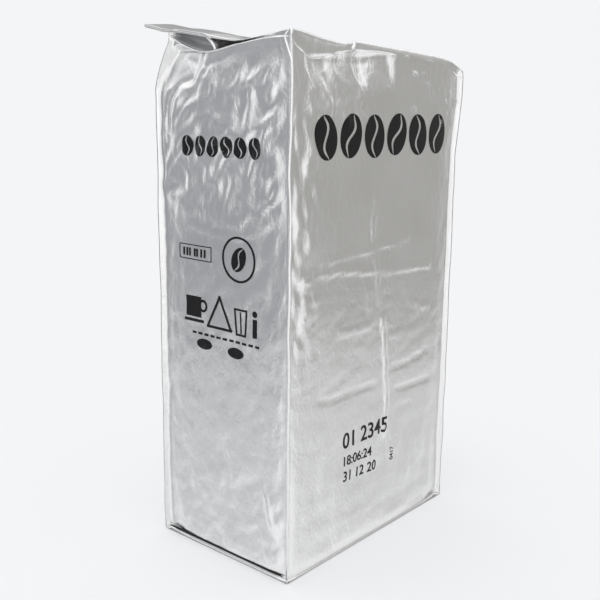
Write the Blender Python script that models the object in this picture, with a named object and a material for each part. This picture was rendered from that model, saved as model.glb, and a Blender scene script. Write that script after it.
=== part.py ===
"""A shut brick of ground coffee, vacuum packed in silver film.

The pack is one closed solid, in metres, with +Z up. The origin is the middle of the flat base,
the wide front looks along -Y, and the folded seal at the top points to the back, along +Y.
"""

import math

import bmesh
import bpy
from mathutils import Vector

MM = 0.001

# The block, in millimetres.
WIDTH = 82.0  # of the two wide faces, along X
DEPTH = 52.8  # of the two narrow faces, along Y
SEAL_REACH = 9.7  # how far the folded seal stands out from the back's rim

# The film's pinched vertical edges: a thin ridge with a groove on each side of it.
GROOVE_DEPTH = 1.15
GROOVE_NEAR = 0.9  # distance over which the ridge falls away
GROOVE_FAR = 3.6  # distance over which the wall comes back out
FOOT_DEPTH = 0.9  # the same groove just above the foot's lip
FOOT_SCALE = 0.5

# The back leans in towards the top.
LEAN_FROM = 138.7
LEAN_RISE = 13.5
LEAN_BY = 6.3
LEAN_POWER = 1.42

# The right shoulder, where the film is slack, bulges out.
BULGE = 2.2
BULGE_AT = 140.0
BULGE_SPREAD = 13.0

# The wide faces are slightly hollow, as the vacuum draws them in.
HOLLOW_WIDE = 0.5
HOLLOW_NARROW = 0.3

TOP_SINK = 0.7  # how far the top lies below its rim
TOP_SINK_SCALE = 8.0
ROOF_CURVE = 1.5  # the pockets' roof rises late, so that it stays under the top

# Grid: cells along X and Y, rows up the wall, and rows in the collar above the shoulder line.
CELLS_X = 25
CELLS_Y = 17
WALL_ROWS = 26
COLLAR_ROWS = 6
ROWS = WALL_ROWS + COLLAR_ROWS
CROWDING = 0.8  # how strongly the grid lines crowd towards the edges

FOIL_COLOUR = (0.80, 0.80, 0.81, 1.0)
FOIL_ROUGHNESS = 0.3

# Heights round the top, each as (share of the side, height) from the left or front end.
# The rim is the outer fold of the top panel.
RIM = {
    "front": ((0, 153.6), (0.06, 153.2), (0.16, 151.9), (0.27, 151.0), (0.325, 151.8),
              (0.45, 151.6), (0.77, 150.4), (0.92, 149.0), (1, 146.0)),
    "back": ((0, 155.2), (0.14, 156.0), (0.25, 154.9), (0.5, 154.5), (1, 153.8)),
    "left": ((0, 153.6), (0.19, 152.4), (0.43, 151.5), (0.68, 153.3), (0.85, 154.4), (1, 155.2)),
    "right": ((0, 146.0), (0.15, 147.6), (0.4, 148.7), (0.65, 151.0), (0.85, 153.1), (1, 153.8)),
}
# The shoulder is the crease where each wall panel ends.
SHOULDER = {
    "front": ((0, 151.8), (0.03, 149.2), (0.11, 146.8), (0.19, 147.4), (0.28, 149.3),
              (0.45, 149.5), (0.77, 148.2), (0.92, 146.4), (1, 143.5)),
    "back": ((0, 153.4), (0.14, 154.2), (0.25, 153.1), (0.5, 152.7), (1, 152.0)),
    "left": ((0, 151.8), (0.19, 151.7), (0.40, 150.5), (0.66, 148.7), (0.80, 149.8), (1, 153.4)),
    "right": ((0, 143.5), (0.2, 145.0), (0.4, 145.2), (0.62, 144.6), (0.8, 147.3), (1, 152.0)),
}
# How deep the collar between them is tucked in. The narrow sides have the gusset's pockets,
# and the front has the hollow panel of a folded ear beside the near corner.
TUCK = {
    "front": ((0, 0), (0.05, 0.9), (0.12, 1.4), (0.2, 1.1), (0.3, 0.3), (0.4, 0), (1, 0)),
    "back": ((0, 0), (1, 0)),
    "left": ((0, 0), (0.2, 0.5), (0.38, 1.6), (0.55, 5), (0.72, 9), (0.9, 6), (1, 0)),
    "right": ((0, 0), (0.2, 1), (0.4, 4), (0.6, 8), (0.78, 8), (0.9, 5), (1, 0)),
}
# How far the rim is rounded in from the wall.
ROUNDING = {
    "front": ((0, 0), (0.28, 0), (0.4, 1.6), (0.9, 1.8), (1, 0)),
    "back": ((0, 0), (1, 0)),
    "left": ((0, 0), (1, 0)),
    "right": ((0, 0), (0.15, 1.2), (0.35, 0.8), (0.5, 0), (1, 0)),
}


def clear_scene():
    for obj in list(bpy.data.objects):
        bpy.data.objects.remove(obj, do_unlink=True)


def along(points, t):
    """The value at t on a smooth curve through (place, value) points."""
    last = len(points) - 1
    i = min(max(sum(t > p[0] for p in points) - 1, 0), last - 1)

    def slope(k):
        before, after = points[max(k - 1, 0)], points[min(k + 1, last)]
        return (after[1] - before[1]) / (after[0] - before[0])

    (start, low), (end, high) = points[i], points[i + 1]
    step = end - start
    s = (t - start) / step
    return ((1 + 2 * s) * (1 - s) ** 2 * low + s * s * (3 - 2 * s) * high
            + step * s * (1 - s) * ((1 - s) * slope(i) - s * slope(i + 1)))


def over_top(edges, a, b):
    """A value between the four sides' curves: a runs left to right, b front to back."""
    front, back = along(edges["front"], a), along(edges["back"], a)
    left, right = along(edges["left"], b), along(edges["right"], b)
    corners = ((1 - a) * (1 - b) * edges["front"][0][1] + a * (1 - b) * edges["front"][-1][1]
               + (1 - a) * b * edges["back"][0][1] + a * b * edges["back"][-1][1])
    return (1 - b) * front + b * back + (1 - a) * left + a * right - corners


def crowd(t):
    """Grid lines crowd towards both ends, where the edges' ridges need them."""
    return t - CROWDING * math.sin(2 * math.pi * t) / (2 * math.pi)


def groove(distance, depth, near, far):
    """Depth of the hollow beside a pinched edge, at a distance from the edge."""
    return depth * (1 - math.exp(-distance / near)) * math.exp(-distance / far)


def wall_inset(side, share, length, hollow, z, tau):
    """How far a point of one wall lies inside its flat plane.

    share is the place along the wall, and tau is 0 up to the shoulder and 1 at the rim.
    """
    to_edge = length * min(share, 1 - share)
    inset = hollow * math.sin(math.pi * share) * math.sin(math.pi * min(z / LEAN_FROM, 1))
    inset += groove(to_edge, GROOVE_DEPTH, GROOVE_NEAR, GROOVE_FAR) * (1 - tau)
    inset += groove(z, FOOT_DEPTH, FOOT_SCALE, 4 * FOOT_SCALE) * min(to_edge, 1)
    inset += along(TUCK[side], share) * math.sin(math.pi * tau) ** 0.6
    inset += along(ROUNDING[side], share) * (1 - math.sqrt(1 - tau * tau))
    return inset


def place(a, b, c):
    """A point of the cube's grid, each coordinate from 0 to 1, on the pack's surface."""
    shoulder = over_top(SHOULDER, crowd(a), crowd(b))
    rim = over_top(RIM, crowd(a), crowd(b))
    row = c * ROWS
    tau = max(0.0, (row - WALL_ROWS) / COLLAR_ROWS)
    z = shoulder * crowd(min(row / WALL_ROWS, 1)) + (rim - shoulder) * tau ** ROOF_CURVE
    a, b = crowd(a), crowd(b)

    lean = LEAN_BY * min(max((z - LEAN_FROM) / LEAN_RISE, 0), 1) ** LEAN_POWER
    bulge = BULGE * math.exp(-((z - BULGE_AT) / BULGE_SPREAD) ** 2) * (1 - 0.4 * b)
    x = a * (WIDTH + bulge) - WIDTH / 2
    y = b * (DEPTH - lean) - DEPTH / 2

    if c == 1:
        to_rim = min(a * WIDTH, (1 - a) * WIDTH, b * DEPTH, (1 - b) * DEPTH)
        z -= TOP_SINK * (1 - math.exp(-to_rim / TOP_SINK_SCALE))
        y += along(ROUNDING["front"], a) * (1 - b) ** 6
        x -= along(ROUNDING["right"], b) * a ** 6
    elif c > 0:
        if b == 0:
            y += wall_inset("front", a, WIDTH, HOLLOW_WIDE, z, tau)
        if b == 1:
            y -= wall_inset("back", a, WIDTH, HOLLOW_WIDE, z, tau)
        if a == 0:
            x += wall_inset("left", b, DEPTH, HOLLOW_NARROW, z, tau)
        if a == 1:
            x -= wall_inset("right", b, DEPTH, HOLLOW_NARROW, z, tau)
    return Vector((x, y, z)) * MM


def grid_cube():
    """A closed cube from 0 to 1, each side cut into the grid's cells."""
    bm = bmesh.new()
    bmesh.ops.create_cube(bm, size=1)
    bmesh.ops.translate(bm, vec=(0.5, 0.5, 0.5), verts=bm.verts)
    for axis, cells in enumerate((CELLS_X, CELLS_Y, ROWS)):
        edges = [e for e in bm.edges if abs(e.verts[0].co[axis] - e.verts[1].co[axis]) > 0.5]
        bmesh.ops.subdivide_edges(bm, edges=edges, cuts=cells - 1, use_grid_fill=True)
    for vert in bm.verts:
        cells = (CELLS_X, CELLS_Y, ROWS)
        vert.co = Vector([round(vert.co[k] * cells[k]) / cells[k] for k in range(3)])
    return bm


def draw_out_seal(bm, faces):
    """Extrudes the collar at the back into the folded seal that lies out over the back."""
    sheet = bmesh.ops.extrude_face_region(bm, geom=faces)
    moved = [v for v in sheet["geom"] if isinstance(v, bmesh.types.BMVert)]
    bmesh.ops.delete(bm, geom=faces, context="FACES")
    bmesh.ops.translate(bm, vec=Vector((0, SEAL_REACH, 1.9)) * MM, verts=moved)


def flatten_foot(bm):
    """Joins the base's cells into one flat face."""
    foot = [f for f in bm.faces if all(v.co.z < 0.01 * MM for v in f.verts)]
    bmesh.ops.dissolve_faces(bm, faces=foot, use_verts=False)


def foil_material():
    material = bpy.data.materials.new("silver_film")
    material.use_nodes = True
    shader = material.node_tree.nodes["Principled BSDF"]
    shader.inputs["Base Color"].default_value = FOIL_COLOUR
    shader.inputs["Metallic"].default_value = 1.0
    shader.inputs["Roughness"].default_value = FOIL_ROUGHNESS
    return material


def coffee_pack():
    bm = grid_cube()
    collar = WALL_ROWS / ROWS - 1e-6
    back = [f for f in bm.faces if all(v.co.y == 1 and v.co.z > collar for v in f.verts)]
    for vert in bm.verts:
        vert.co = place(*vert.co)
    draw_out_seal(bm, back)
    flatten_foot(bm)
    mesh = bpy.data.meshes.new("coffee_pack")
    bm.to_mesh(mesh)
    bm.free()
    mesh.shade_smooth()
    mesh.materials.append(foil_material())
    pack = bpy.data.objects.new("coffee_pack", mesh)
    bpy.context.collection.objects.link(pack)


def main():
    clear_scene()
    coffee_pack()


main()
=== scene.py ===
"""Looks of a shut brick of ground coffee in silver film.

The film is one closed skin, folded and crumpled over the block, with the folded seal on top and
plain black print laid on it. Lengths in the functions below are millimetres from the block's
near left foot, and are turned into metres when a mesh is finished.
"""

import math

import bmesh
import bpy
import numpy as np
from mathutils import Matrix, Vector, noise
from mathutils.bvhtree import BVHTree


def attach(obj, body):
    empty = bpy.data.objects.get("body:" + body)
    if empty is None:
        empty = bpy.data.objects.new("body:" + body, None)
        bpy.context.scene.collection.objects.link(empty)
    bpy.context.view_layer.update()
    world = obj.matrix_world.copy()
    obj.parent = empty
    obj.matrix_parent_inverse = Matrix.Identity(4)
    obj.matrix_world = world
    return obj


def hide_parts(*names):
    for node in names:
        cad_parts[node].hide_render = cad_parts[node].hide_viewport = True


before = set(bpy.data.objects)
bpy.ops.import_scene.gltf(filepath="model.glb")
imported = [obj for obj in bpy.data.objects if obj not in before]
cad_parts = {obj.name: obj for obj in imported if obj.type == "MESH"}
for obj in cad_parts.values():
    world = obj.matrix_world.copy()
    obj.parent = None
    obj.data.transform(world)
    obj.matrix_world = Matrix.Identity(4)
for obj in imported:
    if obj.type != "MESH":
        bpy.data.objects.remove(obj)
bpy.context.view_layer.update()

MM = 0.001

# The block under the film, in millimetres. The folded seal is the rest of the pack's depth.
WIDTH = 82.0
DEPTH = 52.8
# The hollow beside each upright edge: how steeply it drops, how deep it is, how far it runs.
# Beside the near edge it is shallower, and deeper low down than high up.
RIDGE_SLOPE, RIDGE_DEPTH, RIDGE_FAR = 0.85, 1.9, 5.2
NEAR_SLOPE, NEAR_DEPTH, NEAR_DEPTH_LOW, NEAR_FAR = 0.6, 0.12, 0.8, 3.2
TIP_CUT, TIP_REACH = 0.16, 0.7  # how the near edge is blunted
FOOT_DEPTH, FOOT_SCALE = 0.9, 0.5  # the hollow above the foot's lip
# The back leans in at the top, and the slack right shoulder bulges out.
LEAN_FROM, LEAN_RISE, LEAN_BY, LEAN_POWER = 138.7, 13.5, 6.3, 1.42
BULGE, BULGE_AT, BULGE_SPREAD = 2.2, 140.0, 13.0
EDGE_WANDER, NEAR_EDGE_WANDER = 0.25, 0.06  # how far the upright edges stray
HOLLOW_WIDE, HOLLOW_NARROW = 0.5, 0.3  # how far the vacuum draws the walls in
TOP_SINK, TOP_SINK_SCALE = 0.7, 8.0
ROOF_CURVE = 1.5
RIM_LIP = 0.9  # the share of the collar that is tucked in, below an upright lip
TOP_RIPPLE = 0.35

# The folded seal, in millimetres from the front of the block.
SEAL_START, SEAL_TIP, SEAL_END = 29.0, 56.0, 33.0
SEAL_WIDTH, SEAL_GAP, SEAL_FILM = 82.6, 0.95, 0.55
SEAL_LIFT = 0.45
SEAL_TIP_HEIGHTS = ((-0.5, 157.3), (10.4, 158.0), (11.6, 157.5), (16.3, 157.1), (24.5, 156.7),
                    (36, 156.5), (82, 155.7))
SEAL_CELLS_X, SEAL_CELLS_Y = 120, 90
# The gussets' inner folds, as shares of the narrow side, and their film's thickness.
FLAP_FROM, FLAP_TO, FLAP_FILM = 0.58, 0.99, 0.15
# The radii of the beads of folded film and of the black bead of painted shade above the foot, and
# how many sides they have.
EDGE_BEAD, FOLD_BEAD, RIM_BEAD, LIP_BEAD, NUB_BEAD, FOOT_SHADE_BEAD = 0.42, 0.4, 0.28, 0.2, 0.5, 0.36
BEAD_SIDES = 12
PRINT_LIFT = 0.07  # from the film to the print
PRINT_CUT, MARKS_CUT = 1.0, 1.2  # how fine the print is cut
RAY_START = 5.0  # how far outside the wall the rays to the film start

# Rows and columns of the skin's grid.
COLUMNS = 124
SLICES = 84
WALL_ROWS = 196
COLLAR_ROWS = 14
ROWS = WALL_ROWS + COLLAR_ROWS
CROWDING = 0.62

RIM = {
    "front": ((0, 153.6), (0.06, 153.2), (0.16, 151.9), (0.27, 151.0), (0.325, 151.8),
              (0.45, 151.6), (0.77, 150.4), (0.92, 149.0), (1, 146.0)),
    "back": ((0, 155.2), (0.14, 156.0), (0.25, 154.9), (0.5, 154.5), (1, 153.8)),
    "left": ((0, 153.6), (0.19, 152.4), (0.43, 151.5), (0.68, 153.3), (0.85, 154.4), (1, 155.2)),
    "right": ((0, 146.0), (0.15, 147.6), (0.4, 148.7), (0.65, 151.0), (0.85, 153.1), (1, 153.8)),
}
SHOULDER = {
    "front": ((0, 151.8), (0.03, 149.2), (0.11, 146.8), (0.19, 147.4), (0.28, 149.3),
              (0.45, 149.5), (0.77, 148.2), (0.92, 146.4), (1, 143.5)),
    "back": ((0, 153.4), (0.14, 154.2), (0.25, 153.1), (0.5, 152.7), (1, 152.0)),
    "left": ((0, 151.8), (0.19, 151.7), (0.40, 150.5), (0.66, 148.7), (0.80, 149.8), (1, 153.4)),
    "right": ((0, 143.5), (0.2, 145.0), (0.4, 145.2), (0.62, 144.6), (0.8, 147.3), (1, 152.0)),
}
TUCK = {
    "front": ((0, 0), (0.05, 0.4), (0.12, 0.6), (0.2, 0.5), (0.3, 0.15), (0.4, 0), (1, 0)),
    "back": ((0, 0), (1, 0)),
    "left": ((0, 0), (0.2, 0.5), (0.36, 2.5), (0.5, 7), (0.7, 9), (0.9, 6), (1, 0)),
    "right": ((0, 0), (0.2, 1), (0.4, 4), (0.6, 8), (0.78, 8), (0.9, 5), (1, 0)),
}
ROUNDING = {
    "front": ((0, 0), (0.28, 0), (0.4, 0.3), (0.9, 0.5), (1, 0)),
    "back": ((0, 0), (1, 0)),
    "left": ((0, 0), (1, 0)),
    "right": ((0, 0), (0.15, 0.6), (0.35, 0.4), (0.5, 0), (1, 0)),
}


# The studio. Each wall is its direction, the angles to its soft outer and inner rim in degrees,
# and its colour. In order: the walls that the front and the left side face, a darker one
# behind the pack, two lighter ones straight ahead of the front and the left, and the ground.
BACKDROP = (0.905, 0.913, 0.93)
AMBIENT = (0.86, 0.87, 0.88)
STUDIO_LIGHT = (1.42, 1.42, 1.43)
STUDIO_WALLS = (
    ((0.81, -0.59, -0.04), 34, 15, (0.43, 0.425, 0.405)),
    ((-0.70, 0.72, -0.10), 36, 14, (0.36, 0.375, 0.395)),
    ((0.76, 0.65, 0.0), 42, 20, (0.24, 0.24, 0.235)),
    ((0.0, -1.0, 0.0), 26, 8, (1.08, 1.08, 1.08)),
    ((-1.0, 0.0, 0.0), 24, 8, (1.10, 1.10, 1.10)),
    ((-0.66, -0.62, -0.56), 28, 10, (0.88, 0.88, 0.88)),
)
SHEET_RADIUS = 0.28  # metres
SHEET_COLOUR = (0.92, 0.925, 0.93)
SHEET_CLEAR = 0.5  # how much of the studio the film sees through the sheet
LAMP_WATTS = 1.6


# ---------------------------------------------------------------- helpers

def along(points, t):
    """Values at t, an array, on a smooth curve through (place, value) points."""
    place, value = (np.array(column, float) for column in zip(*points))
    slope = np.empty(len(place))
    slope[1:-1] = (value[2:] - value[:-2]) / (place[2:] - place[:-2])
    slope[0] = (value[1] - value[0]) / (place[1] - place[0])
    slope[-1] = (value[-1] - value[-2]) / (place[-1] - place[-2])
    i = np.clip(np.searchsorted(place, t) - 1, 0, len(place) - 2)
    step = place[i + 1] - place[i]
    s = (t - place[i]) / step
    return ((1 + 2 * s) * (1 - s) ** 2 * value[i] + s * s * (3 - 2 * s) * value[i + 1]
            + step * s * (1 - s) * ((1 - s) * slope[i] - s * slope[i + 1]))


def over_top(edges, a, b):
    """Values between the four sides' curves: a runs left to right, b front to back."""
    front, back, left, right = (edges[side] for side in ("front", "back", "left", "right"))
    corners = ((1 - a) * (1 - b) * front[0][1] + a * (1 - b) * front[-1][1]
               + (1 - a) * b * back[0][1] + a * b * back[-1][1])
    return ((1 - b) * along(front, a) + b * along(back, a)
            + (1 - a) * along(left, b) + a * along(right, b) - corners)


def crowd(t):
    """Grid lines crowd towards both ends of a wall."""
    return t - CROWDING * np.sin(2 * np.pi * t) / (2 * np.pi)


def ramp(value, low, high):
    """0 up to low, 1 from high on, smooth between; low may be above high."""
    t = np.clip((value - low) / (high - low), 0, 1)
    return t * t * (3 - 2 * t)


def pinch(distance, slope, depth, far):
    """Depth of the hollow beside an upright edge: it drops at a slope, then comes back out."""
    drop, back = slope * distance, depth * np.exp(-distance / far)
    return drop * back / (drop ** 4 + back ** 4 + 1e-9) ** 0.25


def edge_hollows(side, start, end, z):
    """The hollows beside both upright edges of a wall, at distances start and end from them."""
    hollow = pinch(end, RIDGE_SLOPE, RIDGE_DEPTH, RIDGE_FAR)
    if side in ("front", "left"):
        depth = NEAR_DEPTH + (NEAR_DEPTH_LOW - NEAR_DEPTH) * ramp(z, 130, 104)
        return hollow + pinch(start, NEAR_SLOPE, depth, NEAR_FAR)
    return hollow + pinch(start, RIDGE_SLOPE, RIDGE_DEPTH, RIDGE_FAR)


def foot_groove(height):
    """Depth of the hollow just above the lip round the foot."""
    return FOOT_DEPTH * (1 - np.exp(-height / FOOT_SCALE)) * np.exp(-height / FOOT_SCALE / 4)


def lumps(u, z, size, seed, stretch=1.0, tilt=0.0):
    """Even noise from -1 to 1 over a wall; stretch draws it out along a line tilted from +u."""
    turn, reach = math.cos(tilt), math.sin(tilt)
    p = (u * turn + z * reach) / (size * stretch)
    q = (z * turn - u * reach) / size
    return np.array([noise.noise((x, y, seed)) for x, y in zip(p, q)])


def ridges(u, z, size, seed, stretch=1.0, tilt=0.0):
    """Noise with sharp crests, from 0 to 1, like the folds of crumpled film."""
    return 1 - 2 * np.abs(lumps(u, z, size, seed, stretch, tilt))


# ---------------------------------------------------------------- the film's relief

# In the relief functions u is the place along the wall, from its left or front end, and each
# noise is given its size in millimetres and then its seed.

# Creases in the film, each as its path of (along the wall, height) points, with its half
# width and how far it stands out; a negative height is a groove.
FRONT_CREASES = (
    (((12.3, 91.8), (34, 93.0), (45, 94.0), (58, 95.0)), 0.55, 0.42),
    (((3.5, 87.6), (13.5, 88.8), (22, 88.9), (39, 86.6), (55, 85.6), (71, 84.8)), 0.6, 0.57),
    (((38.6, 111), (38.2, 103), (37.4, 95)), 0.6, 0.42),
    (((39.2, 92), (40.0, 88), (41.0, 83), (42.4, 74.5)), 0.5, 0.42),
    (((44.0, 73), (45.2, 64), (46.4, 54), (47.3, 45), (46.7, 35), (46.4, 31)), 0.7, 0.66),
    (((36.0, 84), (36.8, 73)), 0.5, 0.28),
    (((21, 70.2), (30, 69.6), (40, 69.9)), 0.5, 0.3),
    (((46, 64.6), (54, 65.2), (61, 65.0)), 0.5, 0.27),
    (((47, 53.4), (58, 54.0), (72, 55.8)), 0.5, -0.42),
    (((50, 46.6), (61, 45.8), (74, 45.0)), 0.5, -0.38),
    (((11, 52.2), (18, 50.6), (30, 51.0), (42, 50.2)), 0.7, -0.38),
    (((51, 40.2), (63, 39.6)), 0.5, -0.23),
    (((57, 72.4), (63, 72.6), (68, 71.0), (72, 70.8)), 0.5, 0.34),
    (((4, 82.0), (14, 81.6)), 0.5, 0.3),
)
LEFT_CREASES = (
    (((47.5, 122), (48.5, 130), (46.5, 136.5), (42, 140.5), (36, 142)), 1.0, -0.45),
    (((45.5, 126), (46, 131), (43, 136), (38, 138.5)), 1.1, 0.4),
    (((45, 147.6), (38, 145.6), (32, 145.2), (26, 146.6), (21, 148.8)), 1.0, -0.16),
    (((45, 98), (39, 100.6), (30, 98.9), (20, 98.4), (11, 100.8), (3.5, 106)), 0.6, 0.28),
    (((8.5, 26), (6.6, 19), (4.2, 12)), 0.9, 0.3),
    (((10.5, 31), (8, 21), (5.6, 14)), 0.8, 0.22),
)


def crease(u, z, path, width, height):
    """A narrow fold along a path, fading out at both ends."""
    path = np.array(path, float)
    legs = np.hypot(*(path[1:] - path[:-1]).T)
    ends = np.concatenate(([0], np.cumsum(legs)))
    nearest = np.full_like(u, 1e9)
    travelled = np.zeros_like(u)
    for start, end, done in zip(path[:-1], path[1:], ends):
        leg = end - start
        share = np.clip(((u - start[0]) * leg[0] + (z - start[1]) * leg[1]) / (leg @ leg), 0, 1)
        away = np.hypot(u - start[0] - share * leg[0], z - start[1] - share * leg[1])
        closer = away < nearest
        nearest = np.where(closer, away, nearest)
        travelled = np.where(closer, done + share * np.hypot(*leg), travelled)
    fade = ramp(travelled, 0, 3) * ramp(travelled, ends[-1], ends[-1] - 3)
    return height * np.exp(-(nearest / width) ** 2) * fade


def front_relief(u, z):
    """How far the front's film stands out from its even form."""
    out = 0.10 * lumps(u, z, 16, 3.1) + 0.03 * lumps(u, z, 5, 7.7)
    # Folds run down from the corner's ear; the film between them leans back.
    down = z + 2.5 * lumps(u, z, 6, 71.5)
    aside = u + 2.0 * lumps(u, z, 5, 73.5)
    ear = ramp(aside, 38, 30) * ramp(u, 4, 9) * ramp(down, 127, 136)
    out += ear * 0.62 * lumps(aside, z, 3.4, 1.3, stretch=2.6, tilt=math.radians(115))
    out += ear * 0.22 * ridges(aside, z, 2.8, 5.3, stretch=2.4, tilt=math.radians(105))
    out -= ear * 0.10 * np.maximum(down - 134, 0) * ramp(z, 150, 146)
    # A slack tongue of film beside the notch leans back and catches the light.
    tongue = ramp(aside, 26, 29) * ramp(aside, 46, 42) * ramp(z, 151, 148)
    out -= tongue * 0.13 * np.maximum(down - 139, 0)
    out += tongue * ramp(down, 138, 143) * 0.22 * lumps(u, z, 3, 15.5, stretch=2.6, tilt=1.6)
    # Slack film beside both upright edges.
    near_edge = ramp(u, 15, 7) * ramp(z, 56, 70) * ramp(z, 140, 128)
    out += near_edge * 0.6 * lumps(u, z, 3.6, 5.2, stretch=1.6, tilt=1.9)
    out += ramp(u, 70, 77) * 0.14 * lumps(u, z, 4, 15.2, stretch=2.2, tilt=1.5)
    # Shallow dents across the top right.
    out += 0.22 * ramp(z, 128, 140) * ramp(u, 34, 46) * lumps(u, z, 9, 12.4)
    dents = ramp(lumps(u, z, 2.6, 18.8), 0.3, 0.7)
    out += ramp(z, 116, 132) * ramp(u, 44, 52) * 0.3 * dents
    out += 0.13 * ramp(z, 78, 60) * lumps(u, z, 4.5, 2.2, stretch=3.5, tilt=0.05)
    out += 0.10 * ramp(z, 92, 80) * ramp(z, 40, 56) * ridges(u, z, 3, 9.2, stretch=4, tilt=0.1)
    out += 0.30 * ramp(z, 50, 25) * lumps(u, z, 5, 8.2, stretch=4, tilt=1.5)
    for path, width, height in FRONT_CREASES:
        out += crease(u, z, path, width, height)
    return out


def left_relief(u, z):
    """How far the left side's film stands out; u runs from the near edge to the back."""
    drift = 1.8 * lumps(u, z, 8, 51.5)
    arc = 99 + 6 * ((u - 24) / 24) ** 2 + drift
    bright = ramp(u, 35, 41) * ramp(z, 137, 141)
    upper = ramp(z, arc - 2, arc + 5) * ramp(z, 149, 141) * (1 - bright) * ramp(u, 1, 6)
    out = 0.12 * lumps(u, z, 14, 4.1)
    out += upper * 0.62 * ridges(u + drift, z, 5.0, 6.3, stretch=1.8, tilt=math.radians(-48))
    out += upper * 0.34 * lumps(u, z + drift, 2.6, 9.1, stretch=2.2, tilt=math.radians(-60))
    out += upper * 0.10 * ridges(u + drift, z, 1.9, 19.1, stretch=1.8, tilt=math.radians(-40))
    lower = 1 - ramp(z, arc - 3, arc + 2)
    out += lower * 0.22 * lumps(u + drift, z, 3.4, 11.5, stretch=1.8, tilt=math.radians(-60))
    out += lower * 0.10 * lumps(u, z, 1.7, 13.5, stretch=1.5, tilt=math.radians(-60))
    out += 0.25 * ramp(z, 60, 35) * lumps(u, z, 5, 14.5, stretch=3, tilt=math.radians(100))
    # The slack top at the back leans in and catches the light.
    slack = np.maximum(z + drift - 139, 0)
    out -= ramp(u, 33, 39) * ramp(u, 52, 49) * ramp(z, 151.5, 149) * 0.24 * slack
    for path, width, height in LEFT_CREASES:
        out += crease(u, z, path, width, height)
    return out


def back_relief(u, z):
    """How far the back's film stands out, with faint creases."""
    out = 0.10 * lumps(u, z, 15, 21.1) + 0.04 * lumps(u, z, 5, 27.7)
    out += 0.16 * ramp(z, 100, 130) * ridges(u, z, 7, 23.1, stretch=3, tilt=0.2)
    out += 0.14 * ramp(z, 70, 50) * ridges(u, z, 8, 25.1, stretch=4, tilt=1.3)
    out += 0.14 * (ramp(u, 12, 4) + ramp(u, 70, 77)) * lumps(u, z, 3.6, 5.9)
    return out


def right_relief(u, z):
    """How far the right side's film stands out, puckered at the top like the left."""
    upper = ramp(z, 90, 104) * ramp(z, 150, 142)
    out = 0.12 * lumps(u, z, 14, 34.1)
    out += upper * 0.5 * ridges(u, z, 5, 36.3, stretch=2.0, tilt=math.radians(50))
    out += (1 - upper) * 0.12 * lumps(u, z, 3.4, 31.5, stretch=1.5, tilt=math.radians(60))
    return out


RELIEF = {"front": front_relief, "back": back_relief, "left": left_relief,
          "right": right_relief}


def wall_inset(side, share, length, hollow, z, tau):
    """How far points of one wall lie inside its flat plane."""
    to_edge = length * np.minimum(share, 1 - share)
    inset = hollow * np.sin(np.pi * share) * np.sin(np.pi * np.minimum(z / LEAN_FROM, 1))
    inset += edge_hollows(side, length * share, length * (1 - share), z) * (1 - tau)
    inset += foot_groove(z) * np.minimum(to_edge, 1)
    inset += along(TUCK[side], share) * np.sin(np.pi * np.minimum(tau / RIM_LIP, 1)) ** 0.6
    inset += along(ROUNDING[side], share) * (1 - np.sqrt(1 - tau * tau))
    flat = ramp(to_edge, 0.4, 3) * ramp(z, 0.5, 4) * (1 - ramp(tau, 0, 0.5))
    return inset - RELIEF[side](share * length, z) * flat


def wobble(z, seed, size):
    """Sideways wander of a pinched edge, in millimetres."""
    return size * np.array([noise.noise((h / 13, seed, 0.5)) + 0.5 * noise.noise((h / 5, seed, 9.5))
                            for h in z])


def top_height(ca, cb, x, y):
    """Heights of the top panel, sunk and rippled inside its rim."""
    to_rim = np.minimum(np.minimum(ca, 1 - ca) * WIDTH, np.minimum(cb, 1 - cb) * DEPTH)
    ripple = TOP_RIPPLE * lumps(x, y, 9, 41.3, stretch=2.2) * ramp(to_rim, 1, 6)
    sink = TOP_SINK * (1 - np.exp(-to_rim / TOP_SINK_SCALE))
    return over_top(RIM, ca, cb) - sink + ripple


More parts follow.
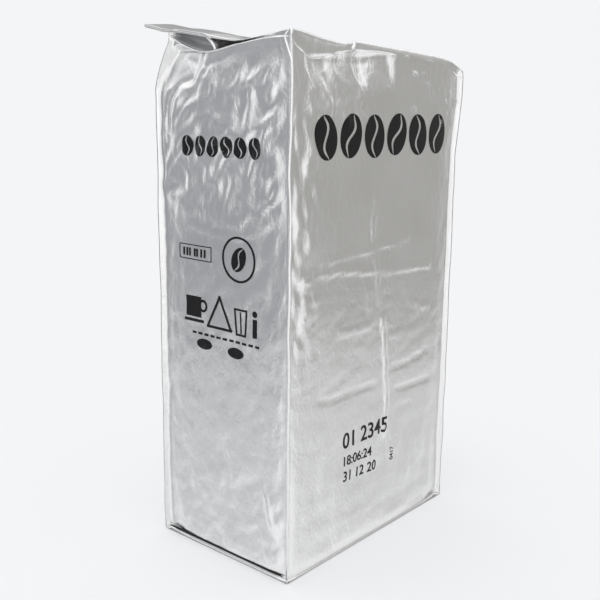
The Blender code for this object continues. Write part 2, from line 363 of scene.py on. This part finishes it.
def place(a, b, c):
    """The skin's points, in millimetres about the origin, for grid points from 0 to 1."""
    ca, cb = crowd(a), crowd(b)
    shoulder, rim = over_top(SHOULDER, ca, cb), over_top(RIM, ca, cb)
    row = c * ROWS
    tau = np.clip((row - WALL_ROWS) / COLLAR_ROWS, 0, 1)
    z = (shoulder * crowd(np.minimum(row / WALL_ROWS, 1))
         + (rim - shoulder) * tau ** ROOF_CURVE)
    lean = LEAN_BY * np.clip((z - LEAN_FROM) / LEAN_RISE, 0, 1) ** LEAN_POWER
    bulge = BULGE * np.exp(-((z - BULGE_AT) / BULGE_SPREAD) ** 2) * (1 - 0.4 * cb)
    x = ca * (WIDTH + bulge) - WIDTH / 2
    y = cb * (DEPTH - lean) - DEPTH / 2

    top, foot = c == 1, c == 0
    wall = ~top & ~foot
    z = np.where(top, top_height(ca, cb, x, y), z)
    y = y + top * along(ROUNDING["front"], ca) * (1 - cb) ** 6
    x = x - top * along(ROUNDING["right"], cb) * ca ** 6

    for side, on, share, length, hollow in (
            ("front", wall & (b == 0), ca, WIDTH, HOLLOW_WIDE),
            ("back", wall & (b == 1), ca, WIDTH, HOLLOW_WIDE),
            ("left", wall & (a == 0), cb, DEPTH, HOLLOW_NARROW),
            ("right", wall & (a == 1), cb, DEPTH, HOLLOW_NARROW)):
        inset = wall_inset(side, share[on], length, hollow, z[on], tau[on])
        if side in ("front", "back"):
            y[on] += inset if side == "front" else -inset
        else:
            x[on] += inset if side == "left" else -inset

    # Each pinched edge wanders a little, and takes the film beside it along.
    for corner_a, corner_b, seed in ((0, 0, 2.5), (1, 0, 4.5), (0, 1, 6.5), (1, 1, 8.5)):
        reach = np.hypot((ca - corner_a) * WIDTH, (cb - corner_b) * DEPTH)
        pull = np.exp(-(reach / 1.6) ** 2) * ramp(z, 0, 6) * ramp(z, 152, 146)
        size = NEAR_EDGE_WANDER if corner_a + corner_b == 0 else EDGE_WANDER
        x = x + wobble(z, seed, size) * pull
        y = y + wobble(z, seed + 30, size) * pull
    reach = ca * WIDTH + cb * DEPTH
    blunt = TIP_CUT * np.maximum(1 - reach / TIP_REACH, 0) ** 2
    x, y = x + blunt, y + blunt
    return x, y, z


# ---------------------------------------------------------------- materials

def principled(name):
    material = bpy.data.materials.new(name)
    material.use_nodes = True
    return material, material.node_tree, material.node_tree.nodes["Principled BSDF"]


def film_material(name, tone):
    """Silver laminated film: bright metal, satin, with a fine orange peel."""
    material, tree, shader = principled(name)
    nodes, links = tree.nodes, tree.links
    shader.inputs["Base Color"].default_value = (tone, tone, tone, 1)
    shader.inputs["Metallic"].default_value = 1.0
    place_node = nodes.new("ShaderNodeTexCoord")
    cloud = nodes.new("ShaderNodeTexNoise")
    cloud.inputs["Scale"].default_value = 60
    cloud.inputs["Detail"].default_value = 3
    links.new(place_node.outputs["Object"], cloud.inputs["Vector"])
    rough = nodes.new("ShaderNodeMapRange")
    rough.inputs["To Min"].default_value = 0.24
    rough.inputs["To Max"].default_value = 0.36
    links.new(cloud.outputs["Fac"], rough.inputs["Value"])
    links.new(rough.outputs["Result"], shader.inputs["Roughness"])
    normal = None
    for size, stretch, distance in ((420, 0.6, 0.0003), (1100, 0.8, 0.0001)):
        squash = nodes.new("ShaderNodeMapping")
        squash.inputs["Scale"].default_value = (1, 1, stretch)
        links.new(place_node.outputs["Object"], squash.inputs["Vector"])
        peel = nodes.new("ShaderNodeTexNoise")
        peel.inputs["Scale"].default_value = size
        peel.inputs["Detail"].default_value = 2
        peel.inputs["Distortion"].default_value = 0.6
        links.new(squash.outputs["Vector"], peel.inputs["Vector"])
        bump = nodes.new("ShaderNodeBump")
        bump.inputs["Strength"].default_value = 0.5
        bump.inputs["Distance"].default_value = distance
        links.new(peel.outputs["Fac"], bump.inputs["Height"])
        if normal:
            links.new(normal, bump.inputs["Normal"])
        normal = bump.outputs["Normal"]
    links.new(normal, shader.inputs["Normal"])
    return material


def shaded_film_material():
    """A darker, duller copy of the silver film for the gussets' flaps: painted shade for the shadow
    inside the side pockets.
    """
    material, tree, shader = principled("pocket_painted_shade_film")
    shader.inputs["Base Color"].default_value = (0.34, 0.34, 0.345, 1)
    shader.inputs["Metallic"].default_value = 1.0
    shader.inputs["Roughness"].default_value = 0.4
    return material


def ink_material():
    """Black print on the film; the same black also paints the shade line above the foot."""
    material, tree, shader = principled("black_print_and_painted_shade")
    shader.inputs["Base Color"].default_value = (0.007, 0.007, 0.0075, 1)
    shader.inputs["Roughness"].default_value = 0.34
    shader.inputs["Specular IOR Level"].default_value = 0.18
    return material


# ---------------------------------------------------------------- pieces

def grid_cube(columns, slices, rows):
    """A closed cube from 0 to 1, each side cut into the grid's cells."""
    bm = bmesh.new()
    bmesh.ops.create_cube(bm, size=1)
    bmesh.ops.translate(bm, vec=(0.5, 0.5, 0.5), verts=bm.verts)
    for axis, cells in enumerate((columns, slices, rows)):
        edges = [e for e in bm.edges if abs(e.verts[0].co[axis] - e.verts[1].co[axis]) > 0.5]
        bmesh.ops.subdivide_edges(bm, edges=edges, cuts=cells - 1, use_grid_fill=True)
    return bm


def finished(name, bm, material):
    """A piece from its bmesh, in metres, shaded smooth, riding on the pack's body."""
    mesh = bpy.data.meshes.new(name)
    bm.to_mesh(mesh)
    bm.free()
    mesh.shade_smooth()
    mesh.materials.append(material)
    piece = bpy.data.objects.new(name, mesh)
    bpy.context.collection.objects.link(piece)
    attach(piece, "root")
    return piece


def film(material):
    """The whole skin of film, which takes the place of the plain pack."""
    bm = grid_cube(COLUMNS, SLICES, ROWS)
    cells = np.array((COLUMNS, SLICES, ROWS))
    grid = np.round(np.array([v.co for v in bm.verts]) * cells) / cells
    points = np.stack(place(*grid.T), axis=1) * MM
    for vert, point in zip(bm.verts, points):
        vert.co = point
    piece = finished("film", bm, material)
    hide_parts("coffee_pack")
    return piece


def seal(material):
    """The folded seal: a strip that leaves the top panel, turns under past the back and returns."""
    bm = bmesh.new()
    bmesh.ops.create_grid(bm, x_segments=SEAL_CELLS_X, y_segments=SEAL_CELLS_Y, size=0.5)
    grid = np.array([v.co for v in bm.verts]) + 0.5
    across, travel = grid[:, 0], grid[:, 1]
    upper, lower = SEAL_TIP - SEAL_START, SEAL_TIP - SEAL_END
    turn = math.pi * SEAL_GAP / 2
    run = travel * (upper + turn + lower)
    angle = np.clip((run - upper) / turn, 0, 1) * math.pi
    back = np.maximum(run - upper - turn, 0)
    y = np.minimum(SEAL_START + run, SEAL_TIP) + SEAL_GAP / 2 * np.sin(angle) - back
    drop = SEAL_GAP / 2 * (1 - np.cos(angle))
    x = (across - 0.5) * SEAL_WIDTH + 0.25 * lumps(y, y, 6, 61.5)
    ca = np.clip(x / WIDTH + 0.5, 0, 1)
    rim_y = DEPTH - LEAN_BY
    cb = np.clip(y / rim_y, 0, 1)
    rim = over_top(RIM, ca, cb)
    tip = np.interp(x + WIDTH / 2, *zip(*SEAL_TIP_HEIGHTS))
    height = rim + (tip - rim) * np.clip((y - rim_y) / (SEAL_TIP - rim_y), 0, 1)
    dip = ramp(y, SEAL_START + 3, SEAL_START) * 0.6
    wave = 0.25 * lumps(x, y, 8, 63.5, stretch=1.5) * ramp(y, 44, 50)
    z = height + SEAL_LIFT * ramp(y, 50, 44) - dip - drop + wave
    points = np.stack((x, y - DEPTH / 2, z), axis=1) * MM
    for vert, point in zip(bm.verts, points):
        vert.co = point
    bmesh.ops.recalc_face_normals(bm, faces=bm.faces)
    bmesh.ops.solidify(bm, geom=bm.faces, thickness=SEAL_FILM * MM)
    return finished("seal", bm, material)


def gusset_flap(material, side):
    """The inner fold of a side gusset, which shows in the pocket under the top panel."""
    bm = bmesh.new()
    bmesh.ops.create_grid(bm, x_segments=30, y_segments=16, size=0.5)
    grid = np.array([v.co for v in bm.verts]) + 0.5
    cb = FLAP_FROM + (FLAP_TO - FLAP_FROM) * grid[:, 0]
    t = grid[:, 1]
    cb = cb + 0.09 * t ** 2 * (1 - grid[:, 0])
    ca = np.full_like(cb, 0 if side < 0 else 1)
    low, high = over_top(SHOULDER, ca, cb) + 0.1, over_top(RIM, ca, cb) - 0.5
    z = low + (high - low) * t
    depth = 1.0 + 1.6 * np.sin(math.pi * t * 0.7) - 0.8 * np.exp(-grid[:, 0] * 9)
    x = side * (WIDTH / 2 - depth)
    y = cb * (DEPTH - LEAN_BY) - DEPTH / 2
    for vert, point in zip(bm.verts, np.stack((x, y, z), axis=1) * MM):
        vert.co = point
    bmesh.ops.recalc_face_normals(bm, faces=bm.faces)
    bmesh.ops.solidify(bm, geom=bm.faces, thickness=FLAP_FILM * MM)
    return finished("gusset_left" if side < 0 else "gusset_right", bm, material)


def hem(name, material, points, radius, rows=40):
    """A bead along a path of (x, y, z) points from the near left foot: folded film, or the black
    bead of painted shade above the foot.
    """
    bm = bmesh.new()
    bmesh.ops.create_grid(bm, x_segments=rows, y_segments=BEAD_SIDES, size=0.5)
    grid = np.array([v.co for v in bm.verts]) + 0.5
    path = np.array(points, float)
    steps = np.linspace(0, 1, len(path))

    def at(t):
        return np.stack([along(tuple(zip(steps, column)), t) for column in path.T], axis=1)

    t, angle = grid[:, 0], grid[:, 1] * 2 * math.pi
    way = at(np.minimum(t + 0.002, 1)) - at(np.maximum(t - 0.002, 0))
    way /= np.linalg.norm(way, axis=1)[:, None]
    first = np.cross(way, (0.6, 0.75, 0.28))
    first /= np.linalg.norm(first, axis=1)[:, None]
    second = np.cross(way, first)
    taper = np.clip(np.minimum(t, 1 - t) * 12, 0, 1)[:, None] ** 0.5
    ring = first * np.cos(angle)[:, None] + second * np.sin(angle)[:, None]
    points = (at(t) + radius * taper * ring - (WIDTH / 2, DEPTH / 2, 0)) * MM
    for vert, point in zip(bm.verts, points):
        vert.co = point
    bmesh.ops.remove_doubles(bm, verts=bm.verts, dist=0.01 * MM)
    bmesh.ops.recalc_face_normals(bm, faces=bm.faces)
    return finished(name, bm, material)


def beads(silver, dark):
    """The sealed near edge, the folds in the side pockets and the rims round them, and a black bead
    of painted shade in the crease above the foot.
    """
    z = np.concatenate(((1.2,), np.linspace(4, 140, 60), (144.5, 146.2, 149.3, 151.7, 152.9, 153.9)))
    aside = wobble(z, 2.5, 0.28) * ramp(z, 0, 8) * ramp(z, 148, 142)
    kink = along(((0, 0), (140, 0), (146.5, 0.1), (149.4, 1.3), (151.7, 2.1), (153.9, 0.2)), z)
    y = 0.12 - aside + kink
    x = 0.12 + aside - 0.1 * ramp(kink, 0, 1)
    hem("edge_bead", silver, np.stack((x, y, z), axis=1), EDGE_BEAD, 240)
    fold = ((31.3, 152.8), (29.9, 151.9), (28.4, 150.5), (27.5, 149.2))
    left = [(0.5 - i / 8, y, z) for i, (y, z) in enumerate(fold)]
    right = [(WIDTH - x, y, z - 2.6) for x, y, z in left]
    hem("fold_left", silver, left, EDGE_BEAD)
    hem("fold_right", silver, right, FOLD_BEAD)
    for end, ca in (("left", 0.0), ("right", 1.0)):
        y = np.linspace(18, 45.6, 12)
        cb = y / (DEPTH - LEAN_BY)
        for name, edges, radius in (("rim_", RIM, RIM_BEAD), ("lip_", SHOULDER, LIP_BEAD)):
            z = over_top(edges, np.full_like(cb, ca), cb)
            hem(name + end, silver, np.stack((0 * y + ca * WIDTH, y, z), axis=1), radius)
    y = np.linspace(1.5, 51.5, 12)
    # A black bead low along the left side: painted shade for the dark crease above the foot's lip.
    hem("foot_shade_line", dark, np.stack((0 * y + 0.42, y, 0 * y + 1.45), axis=1), FOOT_SHADE_BEAD)
    hem("notch_nub", silver, ((25.2, 0.5, 149.9), (26.0, 0.1, 150.6), (26.2, 0.3, 151.5),
                              (27.3, 0.9, 151.6)), NUB_BEAD)


# ---------------------------------------------------------------- the print

# Print is drawn flat, as (along the wall, height), and then laid on the film.

def bean(bm, u, z, wide, tall, turn=0.0):
    """A coffee bean: two halves with a curved slit between them."""
    for half in (-1, 1):
        made = bmesh.ops.create_grid(bm, x_segments=8, y_segments=22, size=0.5)["verts"]
        grid = np.array([v.co for v in made]) + 0.5
        t = np.sin((grid[:, 1] - 0.5) * math.pi)
        rim = wide / 2 * np.sqrt(np.maximum(1 - t * t, 0))
        slit = 0.34 * rim * np.sin(t * math.pi) + half * 0.065 * wide * np.sqrt(1 - t * t)
        p = half * rim + (slit - half * rim) * grid[:, 0]
        q = t * tall / 2
        for vert, a, b in zip(made, p, q):
            vert.co = (u + a * math.cos(turn) - b * math.sin(turn),
                       z + a * math.sin(turn) + b * math.cos(turn), 0)


def bar(bm, u, z, wide, tall, turn=0.0):
    """A filled rectangle about its middle."""
    made = bmesh.ops.create_grid(bm, x_segments=1, y_segments=1, size=0.5)["verts"]
    for vert in made:
        a, b = vert.co.x * wide, vert.co.y * tall
        vert.co = (u + a * math.cos(turn) - b * math.sin(turn),
                   z + a * math.sin(turn) + b * math.cos(turn), 0)


def strokes(bm, points, thick, closed=True):
    """Bars from point to point."""
    ends = points[1:] + points[:1] if closed else points[1:]
    for (u0, z0), (u1, z1) in zip(points, ends):
        length = math.hypot(u1 - u0, z1 - z0) + thick
        bar(bm, (u0 + u1) / 2, (z0 + z1) / 2, length, thick, math.atan2(z1 - z0, u1 - u0))


def oval(bm, u, z, wide, tall, hole=0.0):
    """A filled oval, or a ring when hole is the share of it left open."""
    made = bmesh.ops.create_grid(bm, x_segments=40, y_segments=2, size=0.5)["verts"]
    for vert in made:
        angle = (vert.co.x + 0.5) * 2 * math.pi
        reach = (hole + (1 - hole) * (vert.co.y + 0.5)) / 2
        vert.co = (u + wide * reach * math.cos(angle), z + tall * reach * math.sin(angle), 0)


def figures(bm, text, u, z, tall, turn=0.0, spread=1.0):
    """A line of plain numbers whose first figure stands at (u, z)."""
    curve = bpy.data.curves.new("figures", "FONT")
    curve.body = text
    curve.space_character = spread
    curve.offset = 0.012
    line = bpy.data.objects.new("figures", curve)
    mesh = bpy.data.meshes.new_from_object(line)
    old = set(bm.verts)
    bm.from_mesh(mesh)
    made = [v for v in bm.verts if v not in old]
    scale = tall / 0.7
    for vert in made:
        a, b = vert.co.x * scale, vert.co.y * scale
        vert.co = (u + a * math.cos(turn) - b * math.sin(turn),
                   z + a * math.sin(turn) + b * math.cos(turn), 0)
    bpy.data.objects.remove(line)
    bpy.data.curves.remove(curve)
    bpy.data.meshes.remove(mesh)


def cut_fine(bm, step):
    """Cuts flat print along a square mesh, so that it can follow the film."""
    for axis in (0, 1):
        low = min(v.co[axis] for v in bm.verts)
        high = max(v.co[axis] for v in bm.verts)
        for i in range(1, int((high - low) / step) + 1):
            normal = Vector((1 - axis, axis, 0))
            geometry = bm.verts[:] + bm.edges[:] + bm.faces[:]
            bmesh.ops.bisect_plane(bm, geom=geometry, plane_co=normal * (low + i * step),
                                   plane_no=normal)


def lay(name, bm, side, skin, material):
    """Lays flat print on the film of the front or the left side."""
    for vert in bm.verts:
        u, z = vert.co.x, vert.co.y
        if side == "front":
            way = Vector((0, 1, 0))
            start = Vector((u - WIDTH / 2, -DEPTH / 2 - RAY_START, z))
        else:
            way = Vector((1, 0, 0))
            start = Vector((-WIDTH / 2 - RAY_START, u - DEPTH / 2, z))
        hit = skin.ray_cast(start * MM, way)[0]
        vert.co = hit - way * PRINT_LIFT * MM
    bmesh.ops.recalc_face_normals(bm, faces=bm.faces)
    return finished(name, bm, material)


def front_print(skin, ink):
    """A row of coffee beans, and lines of plain numbers low down."""
    beans = bmesh.new()
    for i, (turn, rise) in enumerate(((0.25, 0), (-0.18, 0.3), (0.12, 0), (-0.25, 0.4),
                                      (0.2, 0.1), (-0.1, 0.2))):
        bean(beans, 14.6 + 11.15 * i, 126.2 + rise, 9.6, 12.4, turn)
    lay("front_beans", beans, "front", skin, ink)
    code = bmesh.new()
    figures(code, "01 2345", 25.2, 33.6, 4.9)
    figures(code, "18:06:24", 25.2, 28.0, 3.0, -0.03)
    figures(code, "31 12 20", 25.4, 23.0, 3.2, -0.05, 1.05)
    figures(code, "0417", 51.6, 22.6, 1.6, math.pi / 2)
    cut_fine(code, PRINT_CUT)
    lay("front_code", code, "front", skin, ink)


def left_print(skin, ink):
    """A small row of beans, and plain marks below. Here u runs to the back, so it reads mirrored."""
    beans = bmesh.new()
    for i, turn in enumerate((-0.2, 0.15, -0.1, 0.2, -0.15, 0.1)):
        bean(beans, 12.6 + 5.35 * i, 123.2, 4.6, 5.8, turn)
    bean(beans, 19.2, 92.3, 5.2, 7.6, 0.5)
    lay("left_beans", beans, "left", skin, ink)
    marks = bmesh.new()
    strokes(marks, [(30.5, 90.3), (44, 90.3), (44, 94.5), (30.5, 94.5)], 0.28)
    for u in (33, 34.4, 36.2, 37.2, 39.4, 40.6, 42):
        bar(marks, u, 92.4, 0.7, 2.4)
    oval(marks, 19.2, 92.3, 13.2, 13.2, 0.9)
    # A plain cup, a plain triangle and a plain bin.
    bar(marks, 38, 76.2, 6.4, 6.2)
    oval(marks, 34, 76.8, 3.4, 3.8, 0.6)
    bar(marks, 38, 72.0, 8.2, 0.9)
    strokes(marks, [(27.2, 80.4), (32.1, 71.2), (22.4, 71.2)], 0.8)
    strokes(marks, [(16.2, 78), (20.8, 78), (20.2, 70.6), (16.8, 70.6)], 0.6)
    bar(marks, 18.5, 74.2, 0.5, 6.4)
    oval(marks, 13.0, 77.6, 1.9, 1.9)
    bar(marks, 13.0, 73.4, 1.6, 5.4)
    for u in np.arange(12, 40, 2.6):
        bar(marks, u, 68.3, 1.7, 0.7)
    oval(marks, 33.6, 65.3, 6.4, 3.2)
    oval(marks, 20.7, 64.9, 6.4, 3.2)
    cut_fine(marks, MARKS_CUT)
    lay("left_marks", marks, "left", skin, ink)


# ---------------------------------------------------------------- studio

def studio_world():
    """A white backdrop; metal also sees a softly lit studio with greyer walls on two sides."""
    world = bpy.data.worlds.new("studio")
    bpy.context.scene.world = world
    world.use_nodes = True
    nodes, links = world.node_tree.nodes, world.node_tree.links
    coords = nodes.new("ShaderNodeTexCoord")

    def mixed(under, colour, factor):
        mix = nodes.new("ShaderNodeMix")
        mix.data_type = "RGBA"
        mix.inputs["B"].default_value = (*colour, 1)
        links.new(factor, mix.inputs["Factor"])
        links.new(under, mix.inputs["A"])
        return mix.outputs["Result"]

    base = nodes.new("ShaderNodeRGB")
    base.outputs[0].default_value = (*STUDIO_LIGHT, 1)
    seen = base.outputs[0]
    for direction, outer, inner, colour in STUDIO_WALLS:
        dot = nodes.new("ShaderNodeVectorMath")
        dot.operation = "DOT_PRODUCT"
        dot.inputs[1].default_value = Vector(direction).normalized()
        links.new(coords.outputs["Generated"], dot.inputs[0])
        edge = nodes.new("ShaderNodeMapRange")
        edge.interpolation_type = "SMOOTHSTEP"
        edge.inputs["From Min"].default_value = math.cos(math.radians(outer))
        edge.inputs["From Max"].default_value = math.cos(math.radians(inner))
        links.new(dot.outputs["Value"], edge.inputs["Value"])
        seen = mixed(seen, colour, edge.outputs["Result"])
    path = nodes.new("ShaderNodeLightPath")
    seen = mixed(seen, AMBIENT, path.outputs["Is Diffuse Ray"])
    seen = mixed(seen, BACKDROP, path.outputs["Is Camera Ray"])
    links.new(seen, nodes["Background"].inputs["Color"])


def floor():
    """A round white sheet that fades into the backdrop at its rim."""
    bm = bmesh.new()
    bmesh.ops.create_circle(bm, cap_ends=True, segments=96, radius=SHEET_RADIUS)
    bmesh.ops.translate(bm, vec=(0, 0, -0.0003), verts=bm.verts)
    mesh = bpy.data.meshes.new("floor")
    bm.to_mesh(mesh)
    bm.free()
    material, tree, shader = principled("white_sheet")
    nodes, links = tree.nodes, tree.links
    shader.inputs["Base Color"].default_value = (*SHEET_COLOUR, 1)
    shader.inputs["Roughness"].default_value = 0.8
    shader.inputs["Specular IOR Level"].default_value = 0.2
    backdrop = nodes.new("ShaderNodeEmission")
    backdrop.inputs["Color"].default_value = (*BACKDROP, 1)
    coords = nodes.new("ShaderNodeTexCoord")
    radius = nodes.new("ShaderNodeVectorMath")
    radius.operation = "LENGTH"
    links.new(coords.outputs["Object"], radius.inputs[0])
    rim = nodes.new("ShaderNodeMapRange")
    rim.interpolation_type = "SMOOTHSTEP"
    rim.inputs["From Min"].default_value = 0.25 * SHEET_RADIUS
    rim.inputs["From Max"].default_value = 0.8 * SHEET_RADIUS
    rim.inputs["To Min"].default_value = 0.35
    links.new(radius.outputs["Value"], rim.inputs["Value"])
    path = nodes.new("ShaderNodeLightPath")
    fade = nodes.new("ShaderNodeMath")
    fade.operation = "MULTIPLY"
    links.new(rim.outputs["Result"], fade.inputs[0])
    links.new(path.outputs["Is Camera Ray"], fade.inputs[1])
    mix = nodes.new("ShaderNodeMixShader")
    links.new(fade.outputs["Value"], mix.inputs["Fac"])
    links.new(shader.outputs["BSDF"], mix.inputs[1])
    links.new(backdrop.outputs["Emission"], mix.inputs[2])
    # Metal sees the studio's lower walls partly through the sheet.
    clear = nodes.new("ShaderNodeBsdfTransparent")
    share = nodes.new("ShaderNodeMath")
    share.operation = "MULTIPLY"
    share.inputs[1].default_value = SHEET_CLEAR
    links.new(path.outputs["Is Glossy Ray"], share.inputs[0])
    blend = nodes.new("ShaderNodeMixShader")
    links.new(share.outputs["Value"], blend.inputs["Fac"])
    links.new(mix.outputs["Shader"], blend.inputs[1])
    links.new(clear.outputs["BSDF"], blend.inputs[2])
    links.new(blend.outputs["Shader"], nodes["Material Output"].inputs["Surface"])
    mesh.materials.append(material)
    piece = bpy.data.objects.new("floor", mesh)
    bpy.context.collection.objects.link(piece)


def lamps():
    """One wide soft lamp overhead, which gives the sheet its faint shadow."""
    data = bpy.data.lights.new("overhead", "AREA")
    data.shape = "DISK"
    data.size = 0.9
    data.energy = LAMP_WATTS
    lamp = bpy.data.objects.new("overhead", data)
    lamp.location = (-0.15, 0.1, 1.1)
    lamp.rotation_euler = (Vector((0, 0, 0.08)) - lamp.location).to_track_quat("-Z", "Y").to_euler()
    bpy.context.collection.objects.link(lamp)


def camera():
    """Stands off the near left corner, a little above the pack's middle, and looks down."""
    right = Vector((0.65327, -0.75706, 0.01043))
    up = Vector((0.15557, 0.14771, 0.97672))
    back = Vector((-0.74097, -0.63643, 0.21427))
    data = bpy.data.cameras.new("camera")
    data.sensor_width = 36
    data.lens = 52.9
    view = bpy.data.objects.new("camera", data)
    turn = Matrix((right, up, back)).transposed().to_4x4()
    view.matrix_world = Matrix.Translation((-0.21383, -0.17862, 0.13437)) @ turn
    bpy.context.collection.objects.link(view)
    bpy.context.scene.camera = view


def main():
    bpy.context.scene.view_settings.view_transform = "Standard"
    camera()
    silver = film_material("silver_film", 0.73)
    inner, ink = shaded_film_material(), ink_material()
    mesh = film(silver).data
    skin = BVHTree.FromPolygons([v.co for v in mesh.vertices],
                                [tuple(f.vertices) for f in mesh.polygons])
    seal(film_material("folded_film", 0.52))
    # The gussets' flaps take the darker film, painted shade for the shadowed pockets.
    for side in (-1, 1):
        gusset_flap(inner, side)
    beads(silver, ink)
    front_print(skin, ink)
    left_print(skin, ink)
    studio_world()
    floor()
    lamps()


main()
